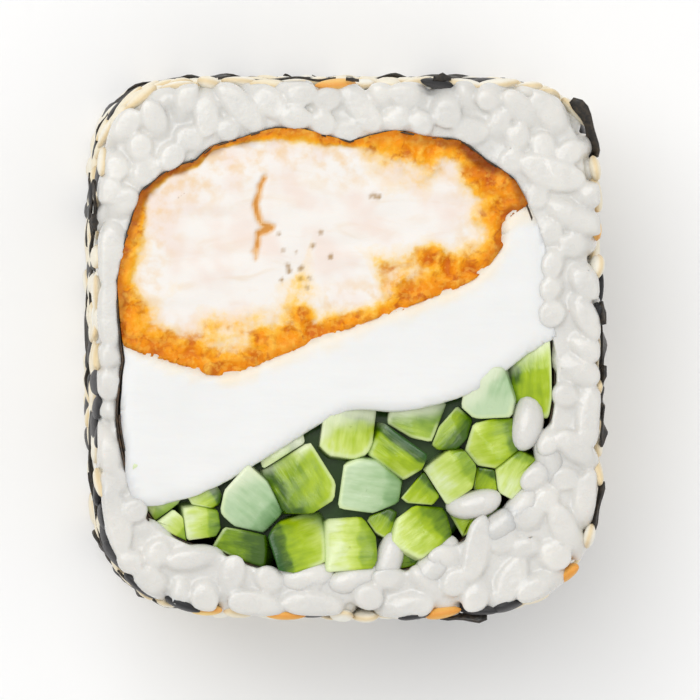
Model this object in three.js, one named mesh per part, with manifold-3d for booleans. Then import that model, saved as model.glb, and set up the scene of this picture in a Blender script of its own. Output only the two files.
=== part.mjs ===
// One slice of an inside-out sushi roll, lying on its cut face. Rice, with sesame seeds and shreds of nori
// on its outside, goes round a rolled sheet of nori, which holds fried chicken, cream cheese and cucumber.
// Millimetres, +Z up. The origin is under the middle of the slice, on the surface that it lies on.

import * as THREE from "three";
import { ImprovedNoise } from "three/addons/math/ImprovedNoise.js";
import { mergeVertices } from "three/addons/utils/BufferGeometryUtils.js";
import Module from "manifold-3d";

const wasm = await Module();
wasm.setup();

const TURN = 2 * Math.PI;
const GAP = 0.3; // between neighbouring pieces
const TOLERANCE = 0.004; // joins and cuts close up edges that are shorter than this

// The slice is an eighth of a roll as long as a nori sheet, pressed nearly square in its mat.
const SLICE_HEIGHT = 23.5;
const ROLL_WIDTH = 38.2;
const ROLL_DEPTH = 40.6;
const SQUARENESS = 5.7; // exponent of the superellipse
const SQUARENESS_RISE = 1.3; // the corners are sharper than that at +Y, and rounder at -Y

// The hollow inside the rice: its middle, and its radius at even steps of angle from +X.
const HOLLOW_MIDDLE = new THREE.Vector2(-1.1, -0.2);
const HOLLOW_RADII = [
  15.6, 16.7, 18.2, 17.7, 15.9, 17.3, 18.5, 16.5, 15.0, 16.2, 17.3, 16.8, 16.6, 17.2, 16.2, 16.6,
];

// The nori sheet starts inside its own end and winds outwards, so that the two ends lap.
const NORI_THICKNESS = 0.4;
const NORI_START = THREE.MathUtils.degToRad(196);
const NORI_LAP = THREE.MathUtils.degToRad(26);
const NORI_PITCH = NORI_THICKNESS + GAP; // how far it winds outwards in a turn
const NORI_LIFT = 0.2; // its edges stay this far inside the two cut faces
const LAP_CLEARANCE = THREE.MathUtils.degToRad(5.5); // how far its neighbours keep past its two ends

// Where the fillings meet, from left to right.
const CHICKEN_UNDERSIDE = [
  [-20, 2.6], [-15.6, 0.1], [-12.1, -1.2], [-9.2, -1.9], [-3.3, 0.4], [1.3, 2.1], [5.4, 3.6], [9.2, 5.2],
  [11.2, 7.6], [12.2, 10.2], [20, 11.5],
];
const CHEESE_UNDERSIDE = [
  [-20, -10.3], [-13.6, -10.3], [-9.8, -9.6], [-6.3, -7.8], [-0.4, -4.4], [3.9, -4.4], [8.9, -3],
  [12.7, 0.2], [20, 4],
];

// Relief of the cut faces: how far each filling lies inside the plane of the cut, and how rough it is.
const MEAT_SINK = 0.55;
const MEAT_RELIEF = 0.15;
const CRUST_SINK = 0.3;
const CRUST_RELIEF = 0.4;
const CRUST_WIDTH = 2.6;
const CRUST_CRAG = 0.4; // how far the crust is bitten in along its edge
const CHEESE_SINK = 0.4;
const CHEESE_RELIEF = 0.15;

// Cucumber sticks stand through the slice. Each is a square cut back to the space nearest to its own place.
const STICK_WIDTH = 4.7;
const STICK_GAP = 0.35;
const STICK_SINK = [0.2, 1.3]; // least and most that an end lies inside the cut
const BUNDLE_SINK = 2.4; // the same for the core that joins the sticks
const STICK_PLACES = [
  [10.9, -3.2], [13.7, -1.6], [0.2, -6.7], [3.6, -8.9], [4.9, -6.1], [7.5, -6.5], [11.2, -7.0],
  [8.2, -10.2], [12.0, -9.9], [-3.2, -9.9], [0.7, -11.0], [-7.6, -11.4], [4.9, -13.7], [-4.0, -14.3],
  [0.3, -14.8], [-8.1, -14.6], [-11.6, -12.7], [-14.4, -11.6], [-5.7, -8.9],
];

// Cooked short rice grains, sesame seeds and shreds of nori.
const GRAIN = { length: 5.8, width: 2.8, thickness: 2.4 };
const GRAIN_RISE = 0.8; // how far the grains stand out of the core
const GRAIN_ROWS = 5;
const GRAINS_IN_ROW = 18;
const GRAINS_ON_FACE = 32;
const SEED = { length: 3.2, width: 2.0, thickness: 1.1 };
const SEED_COUNT = 60;
const SHRED_COUNT = 12;
const SHRED_LENGTH = [9, 17];
const SHRED_WIDTH = [0.9, 1.5];
const SHRED_THICKNESS = 0.7;

const noise = new ImprovedNoise();
let drawState = 7;

// A repeatable random number from low to high.
function draw(low, high) {
  drawState = (drawState * 1664525 + 1013904223) % 4294967296;
  return low + ((high - low) * drawState) / 4294967296;
}

// The radius from the middle of the roll to the mat's side of the rice.
function rollRadius(angle) {
  const squareness = SQUARENESS + SQUARENESS_RISE * Math.sin(angle);
  const across = Math.abs(Math.cos(angle) / (ROLL_WIDTH / 2)) ** squareness;
  const along = Math.abs(Math.sin(angle) / (ROLL_DEPTH / 2)) ** squareness;
  return (across + along) ** (-1 / squareness);
}

// The radius of the hollow: a cubic through the measured radii.
function hollowRadius(angle) {
  const count = HOLLOW_RADII.length;
  const place = (THREE.MathUtils.euclideanModulo(angle, TURN) / TURN) * count;
  const step = Math.floor(place);
  const t = place - step;
  const [a, b, c, d] = [-1, 0, 1, 2].map((k) => HOLLOW_RADII[(step + k + count) % count]);
  return b + 0.5 * t * (c - a + t * (2 * a - 5 * b + 4 * c - d + t * (3 * (b - c) + d - a)));
}

// How far past its first edge the nori has wound at an angle, in turns from 0 to 1.
function turnsWound(angle) {
  return THREE.MathUtils.euclideanModulo(angle - NORI_START, TURN) / TURN;
}

// Points round a middle at even steps of angle, where the radius is a function of the angle.
function ringPoints(middle, radiusAt, count) {
  return Array.from({ length: count }, (_, i) => {
    const angle = NORI_START + ((i + 0.5) * TURN) / count;
    const radius = radiusAt(angle);
    return new THREE.Vector2(middle.x + radius * Math.cos(angle), middle.y + radius * Math.sin(angle));
  });
}

// Inside the nori's inner turn, where the fillings may reach.
function fillingOutline(count) {
  const isClear = (angle) => turnsWound(angle) * TURN < TURN - LAP_CLEARANCE;
  const turns = (angle) => (isClear(angle) ? turnsWound(angle) : 0);
  return ringPoints(HOLLOW_MIDDLE, (angle) => hollowRadius(angle) + NORI_PITCH * turns(angle) - GAP, count);
}

// Outside the nori's outer turn, where the rice starts.
function riceHollowOutline(count) {
  const isLapped = (angle) => turnsWound(angle) * TURN < NORI_LAP + LAP_CLEARANCE;
  const turns = (angle) => turnsWound(angle) + (isLapped(angle) ? 1 : 0);
  const radiusAt = (angle) => hollowRadius(angle) + NORI_PITCH * turns(angle) + NORI_THICKNESS + GAP;
  return ringPoints(HOLLOW_MIDDLE, radiusAt, count);
}

// A closed geometry as a solid that can be joined and cut.
function solidFrom(geometry) {
  const bare = geometry.clone();
  bare.deleteAttribute("normal");
  bare.deleteAttribute("uv");
  const merged = mergeVertices(bare, 1e-3);
  const vertProperties = new Float32Array(merged.attributes.position.array);
  const triVerts = new Uint32Array(merged.index.array);
  return new wasm.Manifold(new wasm.Mesh({ numProp: 3, vertProperties, triVerts, tolerance: TOLERANCE }));
}

function geometryFrom(solid) {
  const { vertProperties, triVerts } = solid.getMesh();
  const geometry = new THREE.BufferGeometry();
  geometry.setAttribute("position", new THREE.BufferAttribute(vertProperties, 3));
  geometry.setIndex(new THREE.BufferAttribute(triVerts, 1));
  geometry.computeVertexNormals();
  return geometry;
}

// The biggest connected piece of a solid, without the scraps that a cut leaves.
function biggestPiece(solid) {
  const pieces = solidFrom(geometryFrom(solid)).decompose();
  return pieces.reduce((best, piece) => (piece.volume() > best.volume() ? piece : best));
}

// A prism over an outline, from one height to another.
function prism(outline, low, high) {
  const settings = { depth: high - low, bevelEnabled: false };
  return solidFrom(new THREE.ExtrudeGeometry(new THREE.Shape(outline), settings).translate(0, 0, low));
}

// A block that reaches well past the sides of the slice, from one height to another.
function wideBlock(low, high) {
  const block = new THREE.BoxGeometry(2 * ROLL_WIDTH, 2 * ROLL_DEPTH, high - low);
  return solidFrom(block.translate(0, 0, (low + high) / 2));
}

// A slab whose two faces lie inside the plane of the cut by relief(x, y), which grows inwards.
function cutSlab(cell, relief) {
  const cellsAcross = Math.round(ROLL_WIDTH / cell);
  const cellsAlong = Math.round(ROLL_DEPTH / cell);
  const slab = new THREE.BoxGeometry(ROLL_WIDTH, ROLL_DEPTH, SLICE_HEIGHT, cellsAcross, cellsAlong, 1);
  const places = slab.attributes.position;
  for (let i = 0; i < places.count; i++) {
    const inwards = relief(places.getX(i), places.getY(i));
    places.setZ(i, places.getZ(i) > 0 ? SLICE_HEIGHT - inwards : inwards);
  }
  return solidFrom(slab);
}

function splineThrough(places) {
  return new THREE.SplineCurve(places.map(([x, y]) => new THREE.Vector2(x, y)));
}

// The side above a line that runs from left to right through places, kept back from it by a gap.
// A negative gap reaches past the line.
function regionAbove(places, gap) {
  const curve = splineThrough(places);
  const steps = 44;
  const line = Array.from({ length: steps + 1 }, (_, i) => {
    const { x, y } = curve.getTangent(i / steps);
    return curve.getPoint(i / steps).add(new THREE.Vector2(-y * gap, x * gap));
  });
  const corners = [new THREE.Vector2(ROLL_WIDTH, ROLL_DEPTH), new THREE.Vector2(-ROLL_WIDTH, ROLL_DEPTH)];
  return prism([...line, ...corners], 0, SLICE_HEIGHT);
}

// A rolled sheet: the inner face out to the far end, then the outer face back.
function makeNori() {
  const steps = 84;
  const face = (offset) =>
    Array.from({ length: steps + 1 }, (_, i) => {
      const wound = ((TURN + NORI_LAP) * i) / steps;
      const angle = NORI_START + wound;
      const radius = hollowRadius(angle) + (NORI_PITCH * wound) / TURN + offset;
      return new THREE.Vector2(Math.cos(angle), Math.sin(angle)).multiplyScalar(radius).add(HOLLOW_MIDDLE);
    });
  return prism([...face(0), ...face(NORI_THICKNESS).reverse()], NORI_LIFT, SLICE_HEIGHT - NORI_LIFT);
}

// Pale meat in a browned crust: crags bite into the outline, and the crust stands rougher round the meat.
function makeChicken() {
  const outline = fillingOutline(88).map((point, i) => {
    const inwards = HOLLOW_MIDDLE.clone().sub(point).normalize();
    return point.addScaledVector(inwards, CRUST_CRAG * (1 + noise.noise(i * 0.7, 0, 4)) * 0.5);
  });
  const edge = [...outline, ...splineThrough(CHICKEN_UNDERSIDE).getPoints(44)];
  const relief = (x, y) => {
    const fromEdge = Math.min(...edge.map((point) => Math.hypot(point.x - x, point.y - y)));
    const crust = 1 - THREE.MathUtils.smoothstep(fromEdge, 0.4 * CRUST_WIDTH, CRUST_WIDTH);
    const meat = MEAT_SINK + MEAT_RELIEF * noise.noise(x * 0.4, y * 0.4, 1);
    const crag = CRUST_SINK + CRUST_RELIEF * noise.noise(x * 0.9, y * 0.9, 5);
    return Math.max(0, THREE.MathUtils.lerp(meat, crag, crust));
  };
  return prism(outline, 0, SLICE_HEIGHT)
    .intersect(regionAbove(CHICKEN_UNDERSIDE, GAP / 2))
    .intersect(cutSlab(1.4, relief));
}

function makeCheese() {
  const relief = (x, y) => CHEESE_SINK + CHEESE_RELIEF * noise.noise(x * 0.2, y * 0.2, 2);
  return prism(fillingOutline(88), 0, SLICE_HEIGHT)
    .subtract(regionAbove(CHICKEN_UNDERSIDE, -GAP / 2))
    .intersect(regionAbove(CHEESE_UNDERSIDE, GAP / 2))
    .intersect(cutSlab(2.4, relief));
}

// The part of a convex outline on the near side of a line through a point, whose normal points away.
function clipOutline(outline, point, normal) {
  const height = outline.map((corner) => corner.clone().sub(point).dot(normal));
  return outline.flatMap((corner, i) => {
    const j = (i + 1) % outline.length;
    const kept = height[i] <= 0 ? [corner] : [];
    const crosses = height[i] > 0 !== height[j] > 0;
    return crosses ? [...kept, corner.clone().lerp(outline[j], height[i] / (height[i] - height[j]))] : kept;
  });
}

// A turned square, cut back halfway to each neighbouring stick.
function stickOutline(place, places) {
  const turn = draw(0, TURN / 4);
  const square = [0, 1, 2, 3].map((i) => {
    const angle = turn + (i * TURN) / 4;
    const corner = new THREE.Vector2(Math.cos(angle), Math.sin(angle));
    return corner.multiplyScalar(STICK_WIDTH * Math.SQRT1_2).add(place);
  });
  return places
    .filter((other) => other !== place && other.distanceTo(place) < 2 * STICK_WIDTH)
    .reduce((outline, other) => {
      const away = other.clone().sub(place).normalize();
      const halfway = other.clone().add(place).divideScalar(2).addScaledVector(away, -STICK_GAP / 2);
      return clipOutline(outline, halfway, away);
    }, square);
}

// The bundle: sticks of uneven length on a shorter core that fills the space under the cheese.
function makeCucumber() {
  const space = prism(fillingOutline(88), 0, SLICE_HEIGHT).subtract(regionAbove(CHEESE_UNDERSIDE, -GAP / 2));
  const places = STICK_PLACES.map(([x, y]) => new THREE.Vector2(x, y));
  const sticks = places.map((place) =>
    prism(stickOutline(place, places), draw(...STICK_SINK), SLICE_HEIGHT - draw(...STICK_SINK)),
  );
  const core = wideBlock(BUNDLE_SINK, SLICE_HEIGHT - BUNDLE_SINK);
  return biggestPiece(wasm.Manifold.union([core, ...sticks]).intersect(space));
}

// A blunt ellipsoid along X with few sides, which narrows towards +X by the share taper.
function pebble({ length, width, thickness }, sides, taper) {
  const bluntness = 0.5;
  const body = new THREE.SphereGeometry(0.5, sides, 4).rotateZ(-TURN / 4).rotateX(draw(0, TURN / sides));
  const places = body.attributes.position;
  for (let i = 0; i < places.count; i++) {
    const fullness = 1 + bluntness * Math.abs(places.getX(i));
    places.setY(i, places.getY(i) * fullness * (1 - taper * (places.getX(i) + 0.5)));
    places.setZ(i, places.getZ(i) * fullness);
  }
  return body.scale(length, width, thickness);
}

// The mat's side at an angle and a height: the point, with the directions along the side, up and out.
function sideFrame(angle, height) {
  const at = (a) => new THREE.Vector3(rollRadius(a) * Math.cos(a), rollRadius(a) * Math.sin(a), height);
  const along = at(angle + 0.01).sub(at(angle - 0.01)).normalize();
  const up = new THREE.Vector3(0, 0, 1);
  return { point: at(angle), along, up, out: along.clone().cross(up) };
}

// Lays a geometry, whose X and Y lie in the surface, on the mat's side, turned in it and sunk below it.
function onSide(geometry, angle, height, turn, sink) {
  const { point, along, up, out } = sideFrame(angle, height);
  const place = new THREE.Matrix4().makeBasis(along, up, out).setPosition(point.addScaledVector(out, -sink));
  return geometry.rotateZ(turn).applyMatrix4(place);
}

// Rows of grains round the side. Every second row is shifted by half a grain, and each has its own turn.
function sideGrains() {
  const grains = [];
  for (let row = 0; row < GRAIN_ROWS; row++) {
    for (let column = 0; column < GRAINS_IN_ROW; column++) {
      const angle = ((column + (row % 2) / 2 + draw(-0.2, 0.2)) * TURN) / GRAINS_IN_ROW;
      const height = ((row + 0.5 + draw(-0.2, 0.2)) * SLICE_HEIGHT) / GRAIN_ROWS;
      const turn = draw(-0.3, 0.3) * TURN;
      grains.push(onSide(pebble(GRAIN, 5, 0), angle, height, turn, GRAIN.thickness / 2 + draw(-0.1, 0.2)));
    }
  }
  return grains;
}

// Grains in the upper cut face, in two staggered rings between the nori and the side.
function faceGrains() {
  return Array.from({ length: GRAINS_ON_FACE }, (_, i) => {
    const angle = ((i + draw(-0.25, 0.25)) * TURN) / GRAINS_ON_FACE;
    const inner = hollowRadius(angle) + NORI_PITCH + NORI_THICKNESS;
    const radius = THREE.MathUtils.lerp(inner, rollRadius(angle), i % 2 ? 0.3 : 0.6);
    const { along } = sideFrame(angle, 0);
    const grain = pebble(GRAIN, 5, 0).rotateZ(Math.atan2(along.y, along.x) + draw(-0.35, 0.35));
    const depth = SLICE_HEIGHT - GRAIN.thickness / 2 + draw(0, 0.4);
    return grain.translate(radius * Math.cos(angle), radius * Math.sin(angle), depth);
  });
}

// Sesame seeds spread evenly over the side by an additive rule that leaves no rows.
function sesameSeeds() {
  const stepAlong = 0.7548776662;
  const stepUp = 0.5698402909;
  return Array.from({ length: SEED_COUNT }, (_, i) => {
    const angle = ((i * stepAlong) % 1) * TURN;
    const height = THREE.MathUtils.lerp(SEED.width / 2, SLICE_HEIGHT - SEED.width / 2, (i * stepUp) % 1);
    return onSide(pebble(SEED, 5, 0.5), angle, height, draw(0, TURN), -0.1);
  });
}

// A strip that follows the side from one angle, rising or falling as it goes, with square ends.
function shred(startAngle, startHeight, length, width, slope) {
  const steps = Math.ceil(length / 2.2);
  const corners = [];
  for (let i = 0; i <= steps; i++) {
    const gone = (length * i) / steps;
    const angle = startAngle + (gone * Math.cos(slope)) / (ROLL_WIDTH / 2);
    const height = startHeight + gone * Math.sin(slope) + noise.noise(gone * 0.15, startHeight, 3) * 2;
    const { point, along, up, out } = sideFrame(angle, height);
    const sideways = up.clone().multiplyScalar(Math.cos(slope)).addScaledVector(along, -Math.sin(slope));
    for (const [s, o] of [[-1, -1], [1, -1], [1, 1], [-1, 1]]) {
      const corner = point.clone().addScaledVector(sideways, (s * width) / 2);
      corners.push(corner.addScaledVector(out, 0.25 + (o * SHRED_THICKNESS) / 2));
    }
  }
  const faces = [0, 2, 1, 0, 3, 2];
  for (let i = 0; i < steps; i++) {
    for (let k = 0; k < 4; k++) {
      const [a, b] = [4 * i + k, 4 * i + ((k + 1) % 4)];
      // The diagonals of the inner and the outer face run the same way, so that the two don't cross.
      faces.push(...(k < 2 ? [a, b, a + 4, b, b + 4, a + 4] : [a, b + 4, a + 4, a, b, b + 4]));
    }
  }
  const last = 4 * steps;
  faces.push(last, last + 1, last + 2, last, last + 2, last + 3);
  return new THREE.BufferGeometry().setFromPoints(corners).setIndex(faces);
}

function noriShreds() {
  return Array.from({ length: SHRED_COUNT }, (_, i) => {
    const angle = ((i + draw(-0.3, 0.3)) * TURN) / SHRED_COUNT;
    const height = draw(0.15, 0.85) * SLICE_HEIGHT;
    return shred(angle, height, draw(...SHRED_LENGTH), draw(...SHRED_WIDTH), draw(-0.6, 0.6));
  });
}

// The ring of rice: a core with the grains, seeds and shreds that show fused on, cut flat by the knife.
function makeRice() {
  const side = ringPoints(new THREE.Vector2(), (angle) => rollRadius(angle) - GRAIN_RISE, 72);
  const core = prism(side, 0, SLICE_HEIGHT - 0.5);
  const pieces = [...sideGrains(), ...faceGrains(), ...sesameSeeds(), ...noriShreds()].map(solidFrom);
  const whole = wasm.Manifold.union([core, ...pieces]).intersect(wideBlock(0, SLICE_HEIGHT));
  return biggestPiece(whole.subtract(prism(riceHollowOutline(88), -1, SLICE_HEIGHT + 1)));
}

function part(name, solid, color, roughness) {
  const mesh = new THREE.Mesh(geometryFrom(solid), new THREE.MeshStandardMaterial({ color, roughness }));
  mesh.name = name;
  return mesh;
}

const slice = new THREE.Group();
slice.add(
  part("rice", makeRice(), 0xe9e9e6, 0.45),
  part("nori_wrap", makeNori(), 0x17201a, 0.5),
  part("fried_chicken", makeChicken(), 0xe0973f, 0.6),
  part("cream_cheese", makeCheese(), 0xf6f4ee, 0.35),
  part("cucumber_sticks", makeCucumber(), 0x9dc25a, 0.25),
);

export default slice;
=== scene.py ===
import math
from collections import namedtuple

import bpy
import numpy as np
from mathutils import Matrix, Vector, kdtree


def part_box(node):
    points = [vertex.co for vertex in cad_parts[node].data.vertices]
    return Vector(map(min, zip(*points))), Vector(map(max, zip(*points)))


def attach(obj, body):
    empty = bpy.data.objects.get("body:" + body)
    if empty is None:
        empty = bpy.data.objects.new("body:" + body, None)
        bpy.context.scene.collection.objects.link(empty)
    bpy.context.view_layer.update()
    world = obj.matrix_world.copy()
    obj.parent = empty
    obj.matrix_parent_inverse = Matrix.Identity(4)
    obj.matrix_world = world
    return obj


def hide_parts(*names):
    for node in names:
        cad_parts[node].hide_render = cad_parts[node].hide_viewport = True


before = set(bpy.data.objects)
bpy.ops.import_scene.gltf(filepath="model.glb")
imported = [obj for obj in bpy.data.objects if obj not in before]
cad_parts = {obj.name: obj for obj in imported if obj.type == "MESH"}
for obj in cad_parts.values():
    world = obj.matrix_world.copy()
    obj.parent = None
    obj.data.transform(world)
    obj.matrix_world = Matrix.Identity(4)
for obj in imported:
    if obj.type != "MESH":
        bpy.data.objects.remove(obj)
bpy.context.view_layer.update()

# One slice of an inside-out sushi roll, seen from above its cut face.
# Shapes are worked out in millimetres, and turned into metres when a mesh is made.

MM = 0.001
TURN = 2 * math.pi
UP = np.array([0.0, 0.0, 1.0])
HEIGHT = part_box("rice")[1].z / MM  # of the slice: its upper cut face lies there

# The rice: a superellipse outside, and a hollow with its radius at even steps of angle from +X.
ROLL_WIDTH = 38.2
ROLL_DEPTH = 40.6
SQUARENESS = 5.7
SQUARENESS_RISE = 1.3
HOLLOW_MIDDLE = np.array([-1.1, -0.2])
HOLLOW_RADII = np.array(
    [15.6, 16.7, 18.2, 17.7, 15.9, 17.3, 18.5, 16.5, 15.0, 16.2, 17.3, 16.8, 16.6, 17.2, 16.2, 16.6]
)

# The nori's inner face as the photo shows it, and how far its edges lie under the cut faces, by direction
# from the middle of the hollow in degrees. Its ends lap at the lower left.
NORI_LINE = {
    0: 16.6, 12: 16.0, 24: 17.1, 33: 17.9, 44: 18.8, 52: 18.4, 59: 18.6, 66: 17.7, 75: 17.3, 81: 16.5,
    86: 15.9, 92: 16.3, 98: 17.0, 105: 17.5, 114: 17.6, 121: 18.1, 126: 17.9, 132: 18.6, 140: 19.0,
    148: 18.2, 157: 17.6, 164: 17.1, 174: 16.3, 182: 15.9, 190: 16.4, 198: 17.1, 206: 17.6, 215: 18.4,
    225: 18.8, 232: 18.2, 240: 17.4, 252: 17.2, 264: 17.0, 276: 16.9, 290: 17.4, 308: 17.2, 324: 17.7,
    335: 17.4, 347: 17.0,
}
NORI_DEPTHS = {
    4: 1.2, 16: 0.65, 32: 0.5, 44: 0.35, 66: 0.36, 92: 0.38, 120: 0.35, 150: 0.36, 172: 0.3, 204: 0.3,
    212: 0.6, 222: 1.2,
}
NORI_THICKNESS = 0.15
NORI_START = math.radians(196)
NORI_LAP = math.radians(26)
NORI_LIFT = 0.22  # of the outer end over the inner one
CAD_GAP = 0.3  # between the solids

# The lower edges of the chicken and of the cheese.
CHICKEN_UNDERSIDE = [
    (-20, 2.6), (-15.6, 0.1), (-12.1, -1.2), (-9.2, -1.9), (-3.3, 0.4), (1.3, 2.1), (5.4, 3.6), (9.2, 5.2),
    (11.2, 7.6), (12.2, 10.2), (20, 11.5),
]
CHEESE_UNDERSIDE = [
    (-20, -10.3), (-13.6, -10.3), (-9.8, -9.6), (-6.3, -7.8), (-0.4, -4.4), (3.9, -4.4), (8.9, -3),
    (12.7, 0.2), (20, 4),
]

# Cucumber sticks: place, turn in degrees, two widths, how far the upper end is sunk under the cut face, how
# green and how minty it is, and the side in degrees that the skin is on where there is any.
Stick = namedtuple("Stick", "x y turn width depth sunk green mint skin_side", defaults=[None])
STICKS = [Stick(*row) for row in (
    (10.6, -3.3, 80, 4.2, 3.9, 0.25, 0.10, 1.0),
    (13.9, -2.2, 92, 6.2, 3.0, 0.45, 0.5, 0.0, 182),
    (-0.1, -6.0, 82, 4.4, 4.0, 0.35, 0.45, 0.0),
    (3.6, -7.9, -36, 5.0, 2.7, 0.45, 0.55, 0.0, 54),
    (5.2, -5.2, -12, 4.4, 3.2, 0.9, 0.75, 0.2, 80),
    (7.9, -6.3, 48, 3.6, 2.2, 0.95, 0.75, 0.0, 318),
    (10.8, -7.2, 14, 4.2, 3.7, 0.5, 0.42, 0.0),
    (7.9, -9.5, 36, 4.0, 3.4, 0.3, 0.2, 0.1),
    (12.7, -9.6, 62, 3.6, 3.6, 0.6, 0.25, 0.1),
    (10.4, -9.9, 60, 2.2, 2.6, 0.95, 0.55, 0.0),
    (-3.8, -9.8, -58, 5.5, 4.5, 0.35, 0.6, 0.0, 212),
    (-5.0, -7.9, 12, 3.6, 2.4, 0.75, 0.6, 0.0),
    (1.6, -10.4, -8, 4.6, 4.0, 0.3, 0.12, 0.95),
    (-7.5, -11.7, -42, 4.5, 4.2, 0.3, 0.15, 1.0),
    (-11.4, -13.1, 8, 3.2, 2.5, 0.55, 0.25, 0.1),
    (-15.3, -11.2, -30, 4.8, 3.8, 0.5, 0.1, 0.3),
    (-13.6, -13.4, -40, 3.4, 2.4, 0.75, 0.2, 0.1),
    (-11.0, -11.0, 30, 2.4, 2.3, 0.9, 0.55, 0.0),
    (-8.3, -14.9, -10, 4.2, 2.6, 0.8, 0.85, 0.0),
    (-3.8, -14.7, 18, 4.4, 4.0, 0.4, 0.5, 0.0, 198),
    (0.1, -14.7, 4, 4.0, 4.0, 0.35, 0.2, 0.0),
    (5.4, -13.7, 36, 4.9, 3.6, 0.4, 0.4, 0.0),
    (5.6, -11.0, 50, 2.6, 2.2, 0.8, 0.55, 0.0),
    (2.6, -13.0, 62, 2.2, 2.2, 1.0, 0.6, 0.0),
    (4.0, -16.4, 40, 2.8, 2.4, 1.3, 0.7, 0.0),
    (9.6, -12.6, 30, 3.4, 3.0, 1.2, 0.6, 0.0),
)]
STICK_GAP = 0.06

# The end of a stick in steps from its middle outwards: the share of its width, and how far that is under the
# end. Then steps further down its side, and how far down it leans.
STICK_END = [
    (0.04, 0.0), (0.2, 0.0), (0.36, 0.0), (0.52, 0.0), (0.66, 0.0), (0.78, 0.0), (0.87, 0.015), (0.93, 0.04),
    (0.97, 0.09), (0.995, 0.17), (1.0, 0.3), (1.0, 1.2),
]
STICK_SIDE = [(1.0, 8.0), (1.0, 5.5), (1.0, 3.5), (1.0, 2.2)]
LEAN_DEPTH = 5.5
# The bed is painted dark green as the shade between the sticks.
SHADE_BED_DEPTH = 2.9  # of the dark bed between the sticks, under the cut faces

# The crust that shows round the meat: how thick it is and how scorched its edge, by direction from the middle
# of the chicken in degrees, and the places and radii of patches further in. Then the crack in the meat.
CHICKEN_MIDDLE = np.array([-2.5, 9.6])
CRUST_WIDTHS = {
    6: 2.2, 22: 2.0, 36: 1.6, 50: 1.3, 66: 0.5, 92: 0.6, 120: 0.7, 145: 0.35, 160: 0.3, 175: 0.5, 190: 0.9,
    205: 1.9, 218: 2.5, 233: 2.2, 244: 2.4, 254: 3.2, 268: 2.1, 290: 0.9, 311: 0.9, 327: 2.7, 344: 2.3,
    358: 1.5,
}
SCORCH = {
    8: 0.7, 22: 0.9, 36: 0.5, 50: 0.2, 80: 0.2, 110: 0.2, 145: 0.5, 165: 0.8, 190: 0.4, 205: 0.5, 220: 0.2,
    235: 0.0, 340: 0.0, 355: 0.3,
}
CRUST_PATCHES = [(6.2, 6.9, 1.1), (7.6, 5.9, 1.3), (-3.6, 2.3, 1.0), (-6.8, 0.9, 0.9), (9.8, 13.2, 1.2)]
CRACK = [(-6.5, 13.0), (-7.2, 11.0), (-6.8, 9.6), (-5.9, 9.2), (-6.9, 8.8), (-7.1, 6.9)]

# Loose grains over the cucumber: how deep their middles lie, and the place and turn in degrees of each.
LOOSE_DEPTH = 1.15
LOOSE_GRAINS = [
    (9.5, -11.8, 12), (13.6, -5.6, 80), (13.0, -12.2, 50), (3.0, -16.0, 72), (0.6, -17.3, 20),
    (6.6, -16.3, 48), (15.2, -8.2, 100), (-3.4, -17.3, 5), (11.3, -13.6, 35),
]

# Seeds on the outside: their size, how near two may be thrown, and how near one may be to a seed on the rim.
# Then how many there are of each kind, with their slot, pale, deep and edge colour, and roughness.
SEED = np.array([3.15, 1.95, 0.95])
SEED_SPACING = 1.8
RIM_SEED_SPACING = 2.2
SEED_KINDS = {
    "pale_sesame": (385, "pale_sesame", (248, 245, 234), (243, 228, 194), (226, 200, 150), 0.4),
    "black_sesame": (115, "black_sesame", (52, 52, 54), (84, 82, 82), (30, 30, 32), 0.42),
    "toasted_sesame": (28, "pale_sesame", (252, 220, 142), (240, 166, 62), (228, 150, 62), 0.4),
}

# More seeds that show on the rim: direction from the middle of the slice and turn in degrees, and depth.
RIM_SEEDS = {
    "black_sesame": [
        (221.5, 20, 1.2), (228.5, -15, 1.4), (237, 10, 1.1), (284.5, -10, 1.2), (296.5, 30, 1.2),
        (302, -25, 1.4), (71.5, 30, 1.5), (8, 70, 1.5),
    ],
    "toasted_sesame": [
        (241.5, 40, 1.9), (256.5, 0, 1.3), (289.5, 15, 1.2), (314.5, 60, 1.6), (93, 10, 1.2), (26, 80, 1.6),
    ],
}

# Shreds of nori on the outside: how many wide and narrow ones, with their lengths and widths. Then those that
# show on the rim: direction, depth, length and width.
SHRED_THICKNESS = 0.13
SHRED_KINDS = [(17, (8, 18), (1.1, 1.9)), (12, (6, 14), (0.35, 0.6))]
RIM_SHREDS = [
    (49.5, 0.8, 5.0, 1.1), (12, 1.0, 1.8, 0.9), (357.5, 1.1, 1.6, 1.0), (333.5, 1.0, 3.8, 0.7),
    (299, 1.1, 3.6, 1.0), (73.5, 0.45, 1.4, 0.8), (91.5, 0.45, 1.0, 0.6), (155.5, 0.5, 1.3, 0.8),
]

# Grains of rice: how far apart they are thrown and how deep their middles lie, on a cut face and on the
# outside, how near two of them come as a share of their thickness, how deep the deepest lie, and how near
# their middles come to the nori and to the outside.
GRAIN = np.array([5.1, 2.45, 2.15])
CUT_SPACING, SIDE_SPACING = 1.62, 2.2
CUT_DEPTH, SIDE_DEPTH = 1.3, 1.1
NEAREST = 0.86
DEEPEST = 1.9
NORI_ROOM, SIDE_ROOM = 0.8, 0.85
SETTLING_TURNS = 56
RICE_TRIANGLES = 195000

# The camera's place from the middle of the upper cut face, the width that it shows there, half the width of
# the floor, and the strength of the light from all round.
CAMERA_APART = (-42.8, 19.6, 700)
SHOWN_WIDTH = 53.0
FLOOR_REACH = 1000
SURROUNDING = 0.68


def paint(red, green, blue):
    """A colour given as a screen shows it, from 0 to 255, as linear values for a shader."""
    return (*((np.array([red, green, blue]) / 255) ** 2.2).tolist(), 1.0)


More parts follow.
